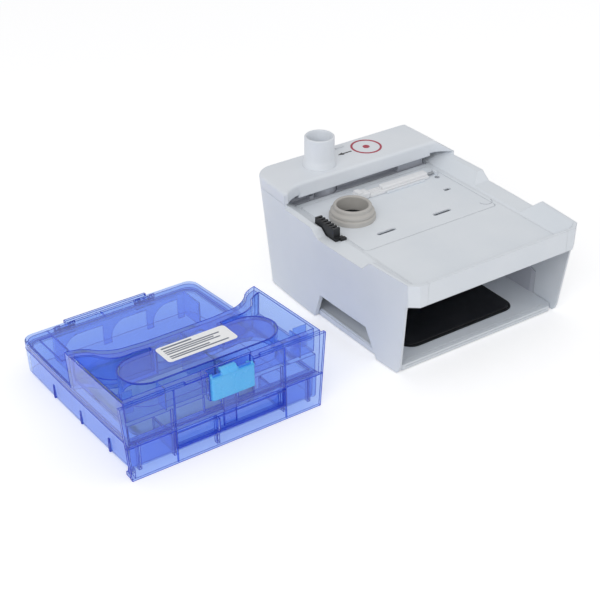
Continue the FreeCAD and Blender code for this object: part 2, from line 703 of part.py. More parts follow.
# tank: tub
def front_plate(z0, z1, y0, y1):
    """Front panel of the tank: it widens upwards."""
    def half(z):
        return 69.8 + 4.8 * (z - tank_skirt_z) / (tank_panel_z - tank_skirt_z)
    return front_prism([(-half(z0), z0), (half(z0), z0), (half(z1), z1), (-half(z1), z1)], y0, y1)


def tank_tub():
    z0, z1 = tank_bottom_z, tank_seam_z - 0.2
    outside = tank_body(z0, z1, 0.0, 5.6, tank_rear_y)
    outside = round_edges(outside, tank_bottom_round, lambda e: level_edge(e, z0))
    inside = tank_body(z0 + tank_skin, z1 + 1, tank_skin, 5.6 + tank_skin, tank_rear_y - tank_skin)
    skirt = front_plate(tank_skirt_z, z1, tank_front_y, tank_front_y + panel_thickness)
    recess = box(-37.6, 0, 12.4, 42.9, 4, z1 + 1)
    joints = [box(x - 0.9, 3.0, z0 + 1, x + 0.9, 6.4, z1) for x in (-62.8, -37.8, 43.0, 62.0)]
    joints.append(box(-37.8, 3.0, 11.4, 43.0, 6.4, 12.6))
    mid_rib = box(-8.0, 1.2, 2.8, -6.2, 6.2, 21.8)
    # stiffening ribs on the left side
    ribs = [box(-69.9, y, z0 + 2.4, -68.0, y + 1.4, z0 + 12.0) for y in (28.0, 65.0, 102.0)]
    hook = side_prism([(3.0, tank_skirt_z), (9.0, tank_skirt_z + 0.6), (9.0, tank_skirt_z + 3.0),
                       (6.4, tank_skirt_z + 3.6),
                       (6.4, z0 + 3.0), (3.0, z0 + 3.0)], -69.4, -66.6)
    inner_walls = [box(-37.8, 6.0, z0 + 1, -36.4, 31.0, 19.0), box(41.6, 6.0, z0 + 1, 43.0, 31.0, 19.0)]
    tub = fuse_all([outside.cut(inside), skirt.cut(recess), mid_rib, hook] + joints + ribs + inner_walls)
    window = rounded_box(heater_x0 + 3, heater_y0 + 3, z0 - 2, heater_x1 - 3, heater_y1 - 3, z0 + 6, 6.0)
    tub = tub.cut(window)
    strike_post = box(-1.0, 4.3, 12.0, 8.0, 5.4,
                      40.5).cut(box(-2, 4, latch_z0 - 0.4, 9, 4.9, latch_z0 + 1.4))
    tub = tub.fuse([strike_post] + hinge_lugs())
    for x in hinge_places():
        tub = tub.cut([cylinder(hinge_pin_radius + 0.05, (x - 1, hinge_y, hinge_z), (1, 0, 0), 16.0),
                       box(x + 3.0, tank_rear_y - 0.6, 22.0, x + 11.0, hinge_y + 2, hinge_z + 1)])
    return tub.removeSplitter()


def hinge_places():
    """Left end of each of the two hinges along the back edge."""
    return [-44.0, 18.0]


def hinge_lugs():
    lugs = []
    for x in hinge_places():
        for start in (x, x + 11.0):
            root = box(start, tank_rear_y - 1.2, hinge_z - 4.0, start + 3.0, hinge_y, hinge_z)
            root = root.cut(box(start - 1, tank_rear_y - 2, tank_seam_z - 0.2, start + 4, tank_rear_y + 0.2,
                                30))
            lugs.append(root.fuse(cylinder(knuckle_radius, (start, hinge_y, hinge_z), (1, 0, 0), 3.0)))
    return lugs


def hinge_knuckles():
    """The lid's knuckles, one between each pair of lugs."""
    knuckles = []
    for x in hinge_places():
        arm = box(x + 3.3, tank_rear_y - 1.2, hinge_z + 0.2, x + 10.7, hinge_y, hinge_z + knuckle_radius)
        knuckle = cylinder(knuckle_radius, (x + 3.3, hinge_y, hinge_z), (1, 0, 0), 7.4)
        bore = cylinder(hinge_pin_radius + 0.05, (x, hinge_y, hinge_z), (1, 0, 0), 16.0)
        knuckles.append(knuckle.fuse(arm).cut(bore))
    return knuckles


def hinge_pins():
    return [cylinder(hinge_pin_radius, (x + 0.1, hinge_y, hinge_z), (1, 0, 0),
                     13.8) for x in hinge_places()]


def tank_heat_plate():
    return rounded_box(heater_x0 + 3.2, heater_y0 + 3.2, tank_bottom_z, heater_x1 - 3.2, heater_y1 - 3.2,
                       tank_bottom_z + 0.8, 5.8)


def heat_plate_seal():
    """Rubber frame inside the tub that holds the metal bottom."""
    outer = rounded_box(heater_x0 + 0.6, heater_y0 + 0.6, tank_bottom_z + tank_skin, heater_x1 - 0.6,
                        heater_y1 - 0.6,
                        tank_bottom_z + tank_skin + 1.2, 8.0)
    inner = rounded_box(heater_x0 + 6.0, heater_y0 + 6.0, tank_bottom_z, heater_x1 - 6.0, heater_y1 - 6.0,
                        tank_bottom_z + 5, 5.0)
    skirt = rounded_box(heater_x0 + 3.2, heater_y0 + 3.2, tank_bottom_z + 0.8, heater_x1 - 3.2,
                        heater_y1 - 3.2,
                        tank_bottom_z + tank_skin, 5.8)
    return outer.fuse(skirt).cut(inner).removeSplitter()


# tank: lid
def chamber_prism(z0, z1, inset):
    """Raised middle: a plate with two round ends, joined to the band along the back."""
    ends = slot_prism(chamber_x0, chamber_x1, chamber_y, chamber_radius - inset, z0, z1)
    return ends.fuse(box(-26.0 + inset, chamber_y, z0, 26.0 - inset, 62.0, z1)).removeSplitter()


def channel_pockets(floor_z, side, front, band, grow):
    """Open channels between the raised middle, the side walls and the band along the back."""
    region = shoulder_side(floor_z, tank_top_z + 4, band, front)
    region = region.common(tank_body(floor_z - 1, tank_top_z + 5, side, tank_front_y, tank_rear_y))
    return region.cut(chamber_prism(floor_z - 1, tank_top_z + 5, grow))


def latch_pocket():
    return box(latch_x0 - 0.6, -2, latch_z0 - 0.6, latch_x1 + 0.6, 5.6, tank_top_z + 4)


def tank_lid():
    seam, low, top = tank_seam_z, tank_low_z, tank_top_z
    outside = tank_body(seam, top, 0.0, 3.0, tank_rear_y)
    outside = outside.cut(shoulder_side(low, top + 2, 0.0, 200.0))
    outside = round_edges(outside, 1.2, lambda e: level_edge(e, low) and e.CenterOfMass.y > 80)
    room = tank_body(seam - 2, top - tank_skin, tank_skin, 5.2, tank_rear_y - tank_skin)
    room = room.cut(shoulder_side(low - tank_skin, top + 2, tank_skin, 200.0))
    room = room.cut(channel_pockets(channel_floor_z - tank_skin, 1.2, 4.4, 8.0 - tank_skin, tank_skin))
    lid = outside.cut(channel_pockets(channel_floor_z, 2.0, 7.0, 8.0, 0.0)).cut(room)
    panel = front_plate(seam, tank_panel_z, tank_front_y, tank_front_y + panel_thickness)
    lip = box(-29.0, tank_front_y + 0.6, tank_panel_z - 1, 25.0, 7.0, top)
    boss = box(latch_x0 - 2.6, 5.0, seam + 2, latch_x1 + 2.6, 7.4, top)
    cheeks = [box(x, 3.0, seam, x + 1.6, 6.0, top - 2) for x in (-38.4, 42.2)]
    strip = box(-37.5, tank_rear_y - 2.2, low - 1, 25.0, tank_rear_y - 0.2, low + 1.6)
    lid = fuse_all([lid, panel, lip, boss, strip] + cheeks)
    lid = lid.cut([latch_pocket(), box(-2.0, 3.2, seam - 1, 9.0, 6.2, latch_z0)])
    lid = lid.cut([cylinder(port_radius, (sign * port_x, 46.0, port_z), (0, 1, 0), 14.0) for sign in (-1,
                                                                                                      1)])
    flange = tank_body(seam, seam + 1.4, 0.4, 5.6, tank_rear_y - 0.4)
    flange = flange.cut(tank_body(seam - 1, seam + 3, 3.6, 9.2, tank_rear_y - 3.6))
    clear = [box(x + step - 0.4, tank_rear_y - 0.6, seam - 1, x + step + 3.2, hinge_y, seam + 4)
             for x in hinge_places() for step in (0.0, 11.2)]
    lid = lid.cut(clear).fuse([flange] + hinge_knuckles())
    pivot = cylinder(latch_pin_radius + 0.02, (latch_x0 - 2.2, latch_pivot_y, latch_pivot_z), (1, 0, 0),
                     latch_x1 - latch_x0 + 4.4)
    return lid.cut(pivot).removeSplitter()


def lid_gasket():
    ring = tank_body(tank_seam_z - 1.8, tank_seam_z, 2.1, 7.7, tank_rear_y - 2.1)
    return ring.cut(tank_body(tank_seam_z - 3, tank_seam_z + 1, 3.5, 9.1, tank_rear_y - 3.5))


def vapour_baffle():
    """Arcade inside the lid that the moist air passes through."""
    panel = box(-50.0, 137.6, 10.0, 50.0, 139.0, tank_low_z - tank_skin)
    windows = []
    for x0, x1 in ((-44.0, -14.0), (-8.0, 20.0), (25.0, 45.0)):
        opening = box(x0, 136, 9.0, x1, 141, 25.6)
        corner = [e for e in opening.Edges
                  if abs(e.CenterOfMass.x - x0) < 1e-6 and abs(e.CenterOfMass.z - 25.6) < 1e-6]
        windows.append(opening.makeFillet(12.0, corner))
    returns = [box(-51.4, 118.0, 12.0, -50.0, 139.0, tank_low_z - tank_skin),
               box(50.0, 118.0, 12.0, 51.4, 139.0, tank_low_z - tank_skin)]
    return fuse_all([panel.cut(windows)] + returns)


def air_divider():
    """Wall under the raised middle that keeps the dry and the moist air apart."""
    front = chamber_y - chamber_radius + tank_skin
    low = box(-0.8, 9.0, 28.0, 0.8, front, channel_floor_z - tank_skin)
    return low.fuse(box(-0.8, front, 28.0, 0.8, 55.0, tank_top_z - tank_skin)).removeSplitter()


def tank_label():
    return rounded_box(-25.4, 26.0, tank_top_z, 25.4, 44.8, tank_top_z + 0.25, 2.6)


# tank: latch
def latch():
    pad = box(latch_x0, -1.6, latch_z0, latch_x1, 1.4, latch_z1)
    pad = round_edges(pad, 1.6, lambda e: abs(e.CenterOfMass.z - (latch_z0 + latch_z1) / 2) < 1e-3
                      and e.CenterOfMass.y < -1)
    crown = side_prism([(-1.2, latch_z1 - 0.5), (1.4, latch_z1 - 0.5), (4.6, latch_z1 + 1.6),
                        (4.6, latch_z1 + 3.0),
                        (2.2, latch_z1 + 3.0)], -3.7, 7.6)
    shoulder = side_prism([(-1.2, latch_z1 - 1.5), (1.4, latch_z1 - 1.5), (1.4, latch_z1 + 1.2)], latch_x0,
                          latch_x1)
    lugs = [side_prism([(1.0, latch_pivot_z - 2), (4.6, latch_pivot_z - 2), (4.6, latch_z1),
                        (1.0, latch_z1)], x, x + 2.4)
            for x in (latch_x0 + 0.8, latch_x1 - 3.2)]
    hook = box(0.0, 1.0, latch_z0, 7.0, 3.8, latch_z0 + 1.1)
    body = fuse_all([pad, crown, shoulder, hook] + lugs)
    return body.cut(cylinder(latch_pin_radius + 0.05, (latch_x0 - 1, latch_pivot_y, latch_pivot_z),
                             (1, 0, 0), 34.0))


def latch_pin():
    return cylinder(latch_pin_radius, (latch_x0 - 2.1, latch_pivot_y, latch_pivot_z), (1, 0, 0),
                    latch_x1 - latch_x0 + 4.2)


def latch_spring():
    """Closed sleeve that stands for the small torsion spring round the pin."""
    return tube(1.5, latch_pin_radius + 0.05, (-6.0, latch_pivot_y, latch_pivot_z), (1, 0, 0), 5.0)


# writing the parts
def beside_the_base():
    """The tank leans back a little, because its front skirt reaches lower than its bottom."""
    pivot = V(0, tank_front_y + panel_thickness, tank_skirt_z)
    return Placement(V(tank_rest_x, tank_rest_y, -tank_skirt_z), Rotation(V(1, 0, 0), -tank_tilt), pivot)


base_parts = {
    "side_wall_left": side_wall_left, "side_wall_right": side_wall_right, "deck_frame": deck_frame,
    "rear_wall": rear_wall, "deck_plate": deck_plate, "vent_grille": vent_grille,
    "bridge_cap": bridge_cap, "bridge_ring_mark": bridge_marks, "flow_arrow_mark": flow_arrow,
    "bridge_bulkhead": bridge_bulkhead, "floor_pan": floor_pan, "rubber_feet": rubber_feet,
    "bay_guide": bay_guide, "bay_back_wall": bay_back_wall, "air_box": air_box,
    "port_plate": port_plate, "air_box_cover": air_box_cover, "port_gaskets": port_gaskets,
    "outlet_elbow": outlet_elbow, "elbow_ring": elbow_ring, "inlet_seal": inlet_seal,
    "seal_socket": seal_socket, "comb_connector": comb_connector, "comb_contacts": comb_contacts,
    "connector_board": connector_board, "lock_bar": lock_bar, "lock_knob": lock_knob,
    "bar_guides": bar_guides, "bar_spring": bar_spring, "spring_stop": spring_stop,
    "heater_plate": heater_plate, "heater_element": heater_element, "heater_surround": heater_surround,
    "heater_insulation": heater_insulation, "heater_springs": heater_springs,
    "heater_sensor": heater_sensor, "thermal_fuse": thermal_fuse, "control_board": control_board,
    "board_parts": board_parts, "board_pillars": board_pillars, "power_module": power_module,
    "harness": harness, "pan_screws": pan_screws, "cap_screws": cap_screws,
}
tank_parts = {
    "tank_tub": tank_tub, "tank_heat_plate": tank_heat_plate, "heat_plate_seal": heat_plate_seal,
    "hinge_pins": hinge_pins, "tank_lid": tank_lid, "lid_gasket": lid_gasket,
    "vapour_baffle": vapour_baffle, "air_divider": air_divider, "tank_label": tank_label,
    "latch": latch, "latch_pin": latch_pin, "latch_spring": latch_spring,
}


def save(node, made, placement):
    solids = made if isinstance(made, list) else made.Solids
    shape = Part.makeCompound(solids) if len(solids) > 1 else solids[0]
    shape = shape.copy()
    shape.Placement = placement.multiply(shape.Placement)
    bad = [] if shape.isValid() else ["NOT VALID"]
    size = shape.BoundBox
    print(f"{node:20s} {len(solids):2d} solids {shape.Volume:10.0f} mm3  "
          f"{size.XLength:.1f} x {size.YLength:.1f} x {size.ZLength:.1f}", *bad)
    shape.exportStep(f"parts/{node}.step")


def main():
    os.makedirs("parts", exist_ok=True)
    to_centre = Placement(V(-set_centre_x, -set_centre_y, 0), Rotation())
    for node, make in base_parts.items():
        save(node, make(), to_centre)
    for node, make in tank_parts.items():
        save(node, make(), to_centre.multiply(beside_the_base()))


main()
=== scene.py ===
import bmesh
import bpy
import math
from mathutils import Matrix, Vector


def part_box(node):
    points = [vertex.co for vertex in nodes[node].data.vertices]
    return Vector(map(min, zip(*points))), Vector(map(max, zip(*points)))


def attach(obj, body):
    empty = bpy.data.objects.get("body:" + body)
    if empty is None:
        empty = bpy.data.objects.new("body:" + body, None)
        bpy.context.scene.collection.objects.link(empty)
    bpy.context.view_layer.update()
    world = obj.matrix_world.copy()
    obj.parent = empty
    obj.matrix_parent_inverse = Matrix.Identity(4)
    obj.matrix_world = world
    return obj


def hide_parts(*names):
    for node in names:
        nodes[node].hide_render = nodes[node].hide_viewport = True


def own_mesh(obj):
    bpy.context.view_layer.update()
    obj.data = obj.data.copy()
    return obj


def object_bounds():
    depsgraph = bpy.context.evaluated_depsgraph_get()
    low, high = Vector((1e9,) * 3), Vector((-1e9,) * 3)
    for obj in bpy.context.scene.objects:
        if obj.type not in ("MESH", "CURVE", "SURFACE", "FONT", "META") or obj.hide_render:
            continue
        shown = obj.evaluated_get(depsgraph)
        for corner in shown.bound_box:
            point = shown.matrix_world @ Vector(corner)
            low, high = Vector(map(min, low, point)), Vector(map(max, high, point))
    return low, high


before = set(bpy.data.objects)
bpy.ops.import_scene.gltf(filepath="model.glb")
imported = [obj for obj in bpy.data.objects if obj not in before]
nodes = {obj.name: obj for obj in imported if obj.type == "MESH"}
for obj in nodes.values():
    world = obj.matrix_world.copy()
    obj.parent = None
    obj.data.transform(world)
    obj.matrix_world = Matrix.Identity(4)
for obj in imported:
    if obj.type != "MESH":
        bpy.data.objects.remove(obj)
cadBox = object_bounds()
print("frame loaded", len(nodes), "nodes")

# where the docking base and the tank stand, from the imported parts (millimetres in, metres out)
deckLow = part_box("deck_plate")[0]
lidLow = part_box("tank_lid")[0]
place = {
    "deckPlateX": -59.7,
    "deckPlateY": 68.3,
    "lidX": -74.6,
    "tankY": -77.7,
    "tilt": 1.6441,
    "pivotY": 3.2,
    "pivotZ": 1.5,
}
baseX = deckLow.x * 1000 - place["deckPlateX"]
baseY = deckLow.y * 1000 - place["deckPlateY"]
tankX = lidLow.x * 1000 - place["lidX"]
toMetres = Matrix.Scale(0.001, 4)
baseFrame = toMetres @ Matrix.Translation((baseX, baseY, 0))
tankPivot = Vector((0, place["pivotY"], place["pivotZ"]))
tankLean = Matrix.Translation(tankPivot) @ Matrix.Rotation(math.radians(-place["tilt"]), 4, "X")
tankLean = tankLean @ Matrix.Translation(-tankPivot)
tankFrame = toMetres @ Matrix.Translation((tankX, place["tankY"], -place["pivotZ"])) @ tankLean


# materials
def nodeTree(name):
    material = bpy.data.materials.new(name)
    material.use_nodes = True
    tree = material.node_tree
    tree.nodes.clear()
    output = tree.nodes.new("ShaderNodeOutputMaterial")
    shader = tree.nodes.new("ShaderNodeBsdfPrincipled")
    tree.links.new(shader.outputs["BSDF"], output.inputs["Surface"])
    return material, tree, shader, output


def noiseFrom(tree, coordinates, scale, detail, roughness=0.5):
    noise = tree.nodes.new("ShaderNodeTexNoise")
    noise.inputs["Scale"].default_value = scale
    noise.inputs["Detail"].default_value = detail
    noise.inputs["Roughness"].default_value = roughness
    tree.links.new(coordinates.outputs["Object"], noise.inputs["Vector"])
    return noise.outputs["Fac"]


def spread(tree, value, low, high, lowOut, highOut):
    ranged = tree.nodes.new("ShaderNodeMapRange")
    ranged.inputs["From Min"].default_value = low
    ranged.inputs["From Max"].default_value = high
    ranged.inputs["To Min"].default_value = lowOut
    ranged.inputs["To Max"].default_value = highOut
    tree.links.new(value, ranged.inputs["Value"])
    return ranged.outputs["Result"]


def blendColours(tree, factor, first, second):
    mix = tree.nodes.new("ShaderNodeMix")
    mix.data_type = "RGBA"
    mix.inputs[6].default_value = (*first, 1)
    mix.inputs[7].default_value = (*second, 1)
    tree.links.new(factor, mix.inputs[0])
    return mix.outputs[2]


def surfaceRelief(tree, shader, coordinates, look):
    rounded = tree.nodes.new("ShaderNodeBevel")
    rounded.samples = 6
    rounded.inputs["Radius"].default_value = look["edgeRadius"]
    grain = noiseFrom(tree, coordinates, look["grainScale"], 3.0)
    relief = tree.nodes.new("ShaderNodeBump")
    relief.inputs["Strength"].default_value = look["grainStrength"]
    relief.inputs["Distance"].default_value = 0.0001
    tree.links.new(grain, relief.inputs["Height"])
    tree.links.new(rounded.outputs["Normal"], relief.inputs["Normal"])
    tree.links.new(relief.outputs["Normal"], shader.inputs["Normal"])
    return relief


# opaque moulded plastics, rubbers, boards and metals
finishLooks = {
    "casing": {"colour": (0.775, 0.815, 0.865), "shade": (0.74, 0.785, 0.84), "rough": (0.36, 0.46),
               "grainScale": 2600, "grainStrength": 0.16, "edgeRadius": 0.0009},
    "cap": {"colour": (0.785, 0.82, 0.87), "shade": (0.75, 0.79, 0.845), "rough": (0.34, 0.44),
            "grainScale": 2600, "grainStrength": 0.14, "edgeRadius": 0.0013},
    "inner_casing": {"colour": (0.52, 0.54, 0.60), "shade": (0.47, 0.49, 0.55), "rough": (0.38, 0.5),
                     "grainScale": 2200, "grainStrength": 0.16, "edgeRadius": 0.0006},
    "off_white": {"colour": (0.84, 0.85, 0.87), "shade": (0.78, 0.79, 0.82), "rough": (0.3, 0.42),
                  "grainScale": 2400, "grainStrength": 0.12, "edgeRadius": 0.0005},
    "seal_rubber": {"colour": (0.50, 0.485, 0.46), "shade": (0.43, 0.415, 0.395), "rough": (0.46, 0.6),
                    "grainScale": 1600, "grainStrength": 0.2, "edgeRadius": 0.0005},
    "dark_rubber": {"colour": (0.03, 0.03, 0.032), "shade": (0.02, 0.02, 0.022), "rough": (0.6, 0.75),
                    "grainScale": 1500, "grainStrength": 0.3, "edgeRadius": 0.0004},
    "black_plastic": {"colour": (0.014, 0.015, 0.018), "shade": (0.008, 0.009, 0.011), "rough": (0.34, 0.5),
                      "grainScale": 2400, "grainStrength": 0.2, "edgeRadius": 0.0003},
    "heater_black": {"colour": (0.010, 0.011, 0.014), "shade": (0.006, 0.007, 0.009), "rough": (0.32, 0.45),
                     "grainScale": 1800, "grainStrength": 0.3, "edgeRadius": 0.0006},
    "contact_metal": {"colour": (0.72, 0.52, 0.24), "shade": (0.60, 0.43, 0.2), "rough": (0.2, 0.32),
                      "grainScale": 1800, "grainStrength": 0.1, "edgeRadius": 0.0001, "metal": 1.0},
    "steel": {"colour": (0.55, 0.56, 0.58), "shade": (0.42, 0.43, 0.45), "rough": (0.25, 0.4),
              "grainScale": 1500, "grainStrength": 0.12, "edgeRadius": 0.0002, "metal": 1.0},
    "aluminium": {"colour": (0.84, 0.85, 0.88), "shade": (0.76, 0.77, 0.80), "rough": (0.42, 0.58),
                  "grainScale": 1200, "grainStrength": 0.15, "edgeRadius": 0.0003, "metal": 1.0},
    "board": {"colour": (0.02, 0.12, 0.05), "shade": (0.015, 0.08, 0.035), "rough": (0.3, 0.4),
              "grainScale": 900, "grainStrength": 0.1, "edgeRadius": 0.0002},
    "foam": {"colour": (0.55, 0.52, 0.45), "shade": (0.42, 0.4, 0.35), "rough": (0.8, 0.95),
             "grainScale": 900, "grainStrength": 0.6, "edgeRadius": 0.0004},
    "red_print": {"colour": (0.42, 0.016, 0.055), "shade": (0.34, 0.012, 0.045), "rough": (0.3, 0.42),
                  "grainScale": 2400, "grainStrength": 0.1, "edgeRadius": 0.0001},
    "black_print": {"colour": (0.02, 0.02, 0.022), "shade": (0.012, 0.012, 0.014), "rough": (0.35, 0.5),
                    "grainScale": 2400, "grainStrength": 0.1, "edgeRadius": 0.0001},
    "latch_blue": {"colour": (0.11, 0.50, 0.96), "shade": (0.08, 0.45, 0.93), "rough": (0.22, 0.32),
                   "grainScale": 2000, "grainStrength": 0.1, "edgeRadius": 0.0007, "depth": 0.08},
    "label_white": {"colour": (0.95, 0.96, 0.97), "shade": (0.92, 0.93, 0.95), "rough": (0.24, 0.34),
                    "grainScale": 1500, "grainStrength": 0.08, "edgeRadius": 0.0002},
    # deep_blue: painted edge shade, for the rods along the sharp edges of the clear mouldings
    "deep_blue": {"colour": (0.012, 0.045, 0.62), "shade": (0.008, 0.035, 0.55), "rough": (0.12, 0.22),
                  "grainScale": 900, "grainStrength": 0.05, "edgeRadius": 0.0001, "depth": 0.1},
    "label_grey": {"colour": (0.16, 0.18, 0.24), "shade": (0.12, 0.14, 0.2), "rough": (0.3, 0.4),
                   "grainScale": 1500, "grainStrength": 0.08, "edgeRadius": 0.0001},
}


def solidFinish(name, look):
    material, tree, shader, output = nodeTree(name)
    coordinates = tree.nodes.new("ShaderNodeTexCoord")
    cloud = noiseFrom(tree, coordinates, 22, 3.0)
    tone = spread(tree, cloud, 0.35, 0.65, 0.0, 1.0)
    tree.links.new(blendColours(tree, tone, look["colour"], look["shade"]), shader.inputs["Base Color"])
    wear = noiseFrom(tree, coordinates, 140, 4.0)
    tree.links.new(spread(tree, wear, 0.3, 0.7, *look["rough"]), shader.inputs["Roughness"])
    shader.inputs["Metallic"].default_value = look.get("metal", 0.0)
    shader.inputs["Subsurface Weight"].default_value = look.get("depth", 0.0)
    shader.inputs["Subsurface Scale"].default_value = 0.003
    surfaceRelief(tree, shader, coordinates, look)
    return material


# clear tinted plastic: light shadows; edge is a painted edge shade, the deeper blue painted where the wall
# is seen edge on
clearLooks = {
    "tank_blue": {"tint": (0.47, 0.625, 0.985), "edge": (0.03, 0.09, 0.72), "rough": (0.04, 0.11),
                  "grainScale": 700, "grainStrength": 0.05, "edgeRadius": 0.0007,
                  "shadow": (0.76, 0.83, 0.98)},
    # tank_edge: darker blue tint, a painted edge shade for the lines, ribs and beads of the one clear blue
    # moulding
    "tank_edge": {"tint": (0.16, 0.28, 0.84), "edge": (0.04, 0.10, 0.66), "rough": (0.08, 0.16),
                  "grainScale": 700, "grainStrength": 0.05, "edgeRadius": 0.0003,
                  "shadow": (0.7, 0.8, 0.97)},
    "clear_silicone": {"tint": (0.82, 0.87, 0.97), "edge": (0.5, 0.6, 0.88), "rough": (0.3, 0.45),
                       "grainScale": 900, "grainStrength": 0.1, "edgeRadius": 0.0004,
                       "shadow": (0.85, 0.89, 0.98)},
}


def clearFinish(name, look):
    material, tree, shader, output = nodeTree(name)
    coordinates = tree.nodes.new("ShaderNodeTexCoord")
    # painted edge shade: deeper colour painted along the edges of clear mouldings, standing in for light
    # running along the wall
    rounded = tree.nodes.new("ShaderNodeBevel")
    rounded.samples = 4
    rounded.inputs["Radius"].default_value = look["edgeRadius"]
    flat = tree.nodes.new("ShaderNodeNewGeometry")
    turn = tree.nodes.new("ShaderNodeVectorMath")
    turn.operation = "DOT_PRODUCT"
    tree.links.new(rounded.outputs["Normal"], turn.inputs[0])
    tree.links.new(flat.outputs["Normal"], turn.inputs[1])
    paintedEdgeShade = spread(tree, turn.outputs["Value"], 0.80, 0.995, 1.0, 0.0)
    tree.links.new(blendColours(tree, paintedEdgeShade, look["tint"], look["edge"]), shader.inputs["Base Color"])
    cloud = noiseFrom(tree, coordinates, 60, 3.0)
    tree.links.new(spread(tree, cloud, 0.3, 0.7, *look["rough"]), shader.inputs["Roughness"])
    shader.inputs["Transmission Weight"].default_value = 0.93
    shader.inputs["IOR"].default_value = 1.09
    shader.inputs["Coat Weight"].default_value = 0.8
    shader.inputs["Coat Roughness"].default_value = 0.05
    surfaceRelief(tree, shader, coordinates, look)
    passing = tree.nodes.new("ShaderNodeBsdfTransparent")
    passing.inputs["Color"].default_value = (*look["shadow"], 1)
    rays = tree.nodes.new("ShaderNodeLightPath")
    softRays = tree.nodes.new("ShaderNodeMath")
    softRays.operation = "MAXIMUM"
    tree.links.new(rays.outputs["Is Shadow Ray"], softRays.inputs[0])
    tree.links.new(rays.outputs["Is Diffuse Ray"], softRays.inputs[1])
    mix = tree.nodes.new("ShaderNodeMixShader")
    tree.links.new(softRays.outputs[0], mix.inputs[0])
    tree.links.new(shader.outputs["BSDF"], mix.inputs[1])
    tree.links.new(passing.outputs["BSDF"], mix.inputs[2])
    tree.links.new(mix.outputs["Shader"], output.inputs["Surface"])
    return material


finishes = {name: solidFinish(name + "Finish", look) for name, look in finishLooks.items()}
finishes.update({name: clearFinish(name + "Finish", look) for name, look in clearLooks.items()})
for node in nodes.values():
    for slot in node.material_slots:
        slot.material = finishes[slot.material.name.split(".")[0]]
for name in ("outlet_elbow", "elbow_ring"):
    nodes[name].material_slots[0].material = finishes["inner_casing"]
print("materials assigned")


# building helpers
def finishPiece(name, mesh, finish, body, frameMatrix):
    bmesh.ops.transform(mesh, matrix=frameMatrix, verts=mesh.verts)
    bmesh.ops.recalc_face_normals(mesh, faces=mesh.faces)
    data = bpy.data.meshes.new(name)
    mesh.to_mesh(data)
    mesh.free()
    piece = bpy.data.objects.new(name, data)
    bpy.context.scene.collection.objects.link(piece)
    data.materials.append(finishes[finish])
    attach(piece, body)
    return piece


def addBlock(mesh, low, high, edgeRadius, segments=2):
    made = bmesh.ops.create_cube(mesh, size=1.0)["verts"]
    size = Vector(high) - Vector(low)
    middle = (Vector(high) + Vector(low)) / 2
    bmesh.ops.scale(mesh, vec=size, verts=made)
    bmesh.ops.translate(mesh, vec=middle, verts=made)
    edges = list({edge for vert in made for edge in vert.link_edges})
    if edgeRadius:
        bmesh.ops.bevel(mesh, geom=edges, offset=edgeRadius, offset_type="OFFSET", affect="EDGES",
                        segments=segments, profile=0.5, material=-1)


# printed label on the tank: generic grey bars instead of words
labelPrint = {"z": 57.25, "lift": 0.08, "x0": -22.0, "x1": 22.0,
              "rows": [(41.4, 1.5, 0.5), (38.4, 1.2, 0.92), (36.2, 1.1, 0.8), (34.0, 1.1, 0.88),
                       (30.8, 1.2, 0.66), (28.6, 1.2, 0.95)]}


def buildLabelPrint():
    mesh = bmesh.new()
    for y, height, share in labelPrint["rows"]:
        x1 = labelPrint["x0"] + (labelPrint["x1"] - labelPrint["x0"]) * share
        low = (labelPrint["x0"], y, labelPrint["z"] - 0.02)
        high = (x1, y + height, labelPrint["z"] + labelPrint["lift"])
        addBlock(mesh, low, high, 0.04, 1)
    piece = finishPiece("labelPrint", mesh, "label_grey", "lid", tankFrame)


buildLabelPrint()
print("label printed")


def addBar(mesh, start, end, radius, turns=12):
    axis = Vector(end) - Vector(start)
    aim = axis.to_track_quat("Z", "Y").to_matrix().to_4x4()
    spot = Matrix.Translation((Vector(start) + Vector(end)) / 2) @ aim
    bmesh.ops.create_cone(mesh, cap_ends=True, segments=turns, radius1=radius, radius2=radius,
                          depth=axis.length, matrix=spot)


def addRing(mesh, centre, radius, width, height, steps=64, angle=2 * math.pi, start=0.0):
    # a small rectangle spun about the upright axis
    low = Vector(centre) + Vector((radius * math.cos(start), radius * math.sin(start), 0))
    made = bmesh.ops.create_grid(mesh, x_segments=1, y_segments=1, size=0.5)["verts"]
    bmesh.ops.scale(mesh, vec=(width, height, 1), verts=made)
    bmesh.ops.rotate(mesh, cent=(0, 0, 0), matrix=Matrix.Rotation(math.pi / 2, 3, "X"), verts=made)
    bmesh.ops.rotate(mesh, cent=(0, 0, 0), matrix=Matrix.Rotation(start, 3, "Z"), verts=made)
    bmesh.ops.translate(mesh, vec=low, verts=made)
    faces = list({face for vert in made for face in vert.link_faces})
    edges = list({edge for face in faces for edge in face.edges})
    closed = angle > 6.28
    if closed:
        bmesh.ops.delete(mesh, geom=faces, context="FACES_ONLY")
        faces = []
    bmesh.ops.spin(mesh, geom=made + edges + faces, cent=centre, axis=(0, 0, 1), angle=angle,
                   steps=steps, use_merge=closed, use_duplicate=False)


def addCoil(mesh, centre, radius, wire, length, turns, axis):
    # a wire section is wound up the Z axis, then the whole coil is laid along axis
    steps = turns * 20
    made = bmesh.ops.create_circle(mesh, cap_ends=True, segments=8, radius=wire)["verts"]
    bmesh.ops.rotate(mesh, cent=(0, 0, 0), matrix=Matrix.Rotation(math.pi / 2, 3, "X"), verts=made)
    bmesh.ops.translate(mesh, vec=(radius, 0, wire), verts=made)
    faces = list({face for vert in made for face in vert.link_faces})
    edges = list({edge for face in faces for edge in face.edges})
    before = set(mesh.verts) - set(made)
    climb = (length - 2 * wire) / steps
    bmesh.ops.spin(mesh, geom=made + edges + faces, cent=(0, 0, 0), axis=(0, 0, 1), dvec=(0, 0, climb),
                   angle=2 * math.pi * turns, steps=steps, use_merge=False, use_duplicate=False)
    coil = [vert for vert in mesh.verts if vert not in before]
    turned = Matrix.Translation(centre) @ Vector(axis).to_track_quat("Z", "Y").to_matrix().to_4x4()
    bmesh.ops.transform(mesh, matrix=turned, verts=coil)
